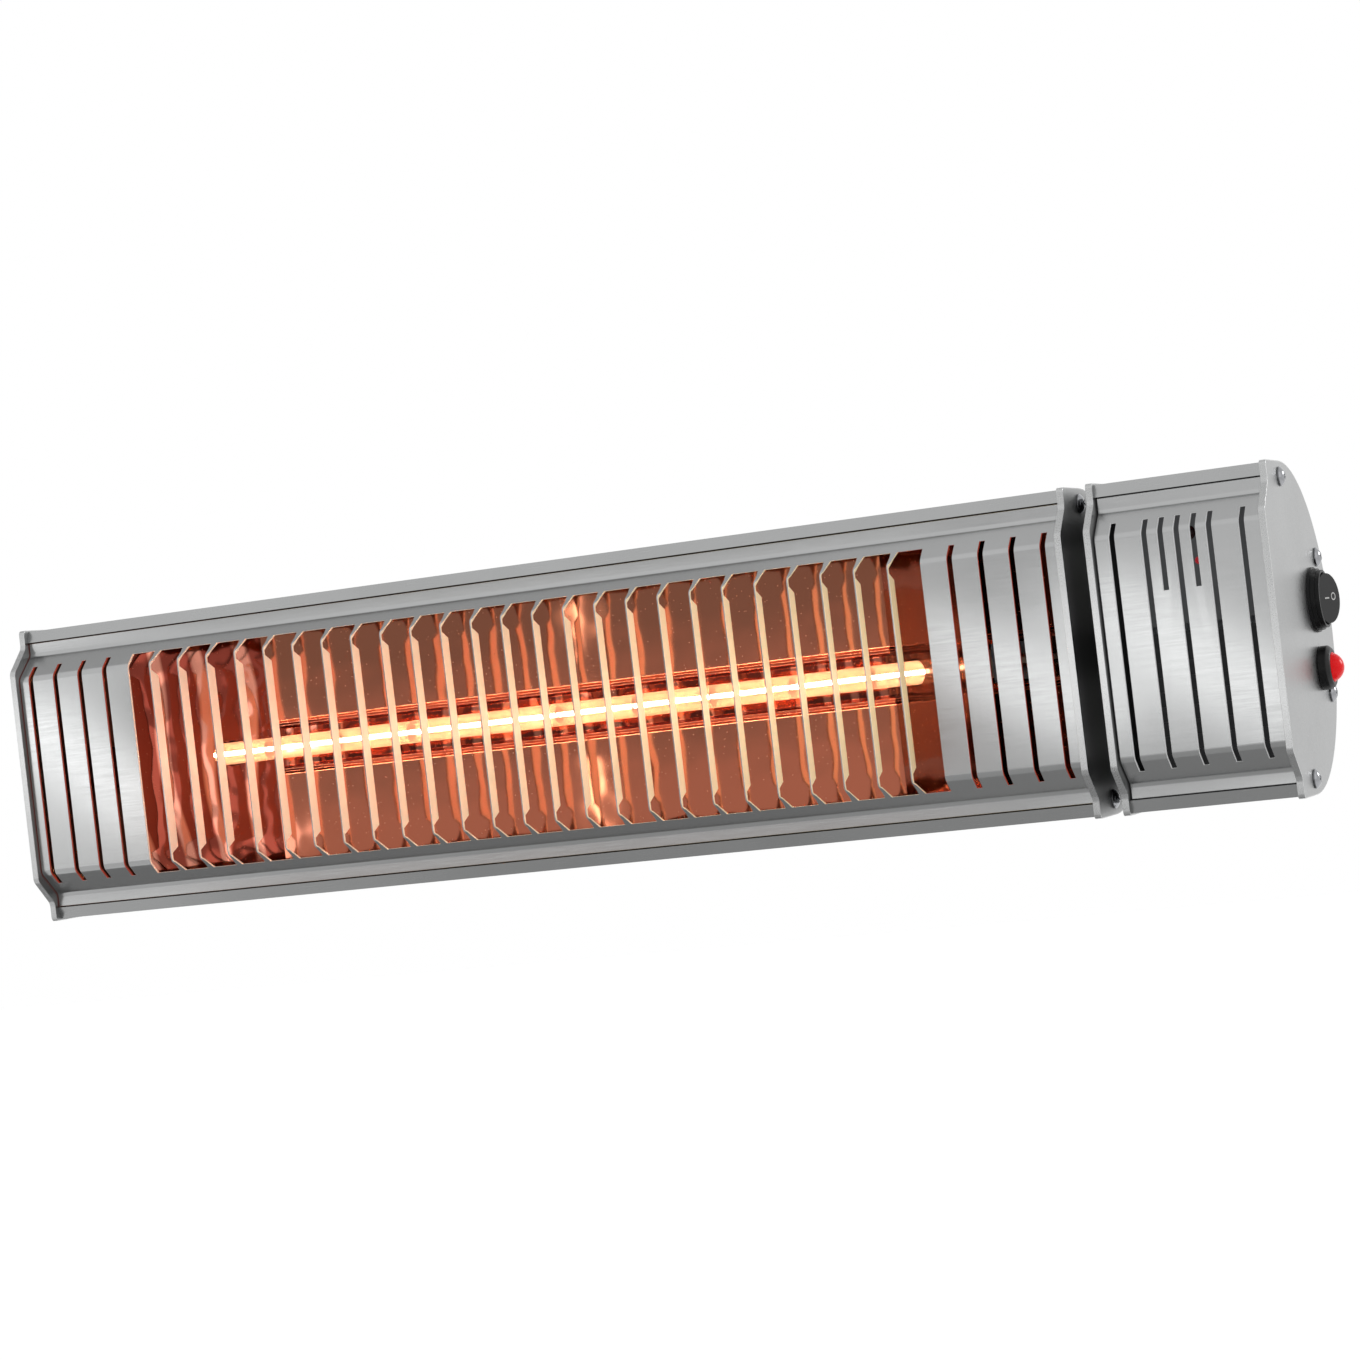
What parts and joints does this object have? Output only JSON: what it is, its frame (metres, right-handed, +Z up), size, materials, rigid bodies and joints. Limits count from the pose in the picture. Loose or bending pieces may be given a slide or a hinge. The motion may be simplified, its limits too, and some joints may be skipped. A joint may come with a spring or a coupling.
{
  "type": "wall mounted electric bar heater",
  "caption": "Long aluminium bar heater with a slatted cover over a glowing quartz lamp, a switched control box at one end and a tilting wall bracket.",
  "frame": {"origin": "centre of the wall plate's back face, midway between its four holes", "axes": "+X along the casing towards the control box, +Y into the wall (the lamp faces -Y), +Z up"},
  "size_m": [0.5971, 0.161, 0.135],
  "materials": {
    "casing_aluminium": "satin",
    "cast_plates": "satin",
    "steel_screws": "polished",
    "steel_sheet": "satin",
    "reflector_sheet": "polished",
    "quartz": "clear",
    "filament_glow": "glowing",
    "ceramic_white": "matte",
    "wire_sleeve": "matte",
    "bracket_paint": "satin",
    "black_plastic": "satin",
    "black_gloss": "gloss",
    "red_gloss": "gloss",
    "heat_sink_black": "matte",
    "receiver_grey": "matte",
    "lens_dark": "gloss",
    "led_red": "gloss",
    "board_green": "satin",
    "relay_blue": "satin",
    "terminal_cream": "matte",
    "brass_contacts": "satin",
    "seal_rubber": "matte",
    "wire_brown": "satin"
  },
  "bodies": {
    "wall_bracket": {"wall_plate": "bracket_paint", "pivot_bolts": "steel_screws", "pivot_washers": "steel_screws", "tilt_knobs": "black_plastic"},
    "heater": {"tilt_arms": "bracket_paint", "arm_bolts": "steel_screws", "arm_nuts": "steel_screws", "rear_shell": "casing_aluminium", "left_end_plate": "cast_plates", "heater_right_plate": "cast_plates", "front_grille": "casing_aluminium", "heater_plate_screws": "steel_screws", "reflector": "reflector_sheet", "lamp_tube": "quartz", "lamp_filament": "filament_glow", "filament_supports": "steel_screws", "lamp_pins": "steel_screws", "lamp_caps": "ceramic_white", "lamp_brackets": "steel_sheet", "bracket_screws": "steel_screws", "lamp_leads": "wire_sleeve", "thermal_cutout": "steel_sheet", "section_spacers": "steel_screws", "section_bolts": "steel_screws", "section_nuts": "steel_screws", "wire_conduit": "black_plastic", "control_shell": "casing_aluminium", "control_left_plate": "cast_plates", "control_right_plate": "cast_plates", "control_cover": "casing_aluminium", "control_plate_screws": "steel_screws", "control_chassis": "steel_sheet", "heat_sink": "heat_sink_black", "receiver_housing": "receiver_grey", "receiver_lens": "lens_dark", "status_led": "led_red", "circuit_board": "board_green", "board_spacers": "brass_contacts", "board_screws": "steel_screws", "relay": "relay_blue", "capacitor": "black_plastic", "triac": "black_plastic", "terminal_block": "terminal_cream", "control_wires": "wire_brown", "switch_housing": "black_plastic", "switch_terminals": "brass_contacts", "rocker_pin": "steel_screws", "button_body": "black_plastic", "button_nut": "steel_screws", "button_spring": "steel_screws", "button_terminals": "brass_contacts", "gland_body": "black_plastic", "gland_nut": "black_plastic", "gland_seal": "seal_rubber", "gland_cap": "black_plastic"},
    "rocker": {"switch_rocker": "black_gloss"},
    "push_button": {"button_cap": "red_gloss"}
  },
  "joints": [
    {"name": "heater_tilt", "type": "hinge", "parent": "wall_bracket", "child": "heater", "pos_m": [0, -0.036, 0], "axis": [1, 0, 0], "range_deg": [-30, 45]},
    {"name": "rocker_swing", "type": "hinge", "parent": "heater", "child": "rocker", "pos_m": [0.3375, -0.089, 0.0106], "axis": [0, 0, 1], "range_deg": [0, 30]},
    {"name": "button_press", "type": "slide", "parent": "heater", "child": "push_button", "axis": [-1, 0, 0], "range_m": [0, 0.002], "stiffness_N_per_m": 800, "springref_m": -0.001, "deforming": ["button_spring"]}
  ]
}
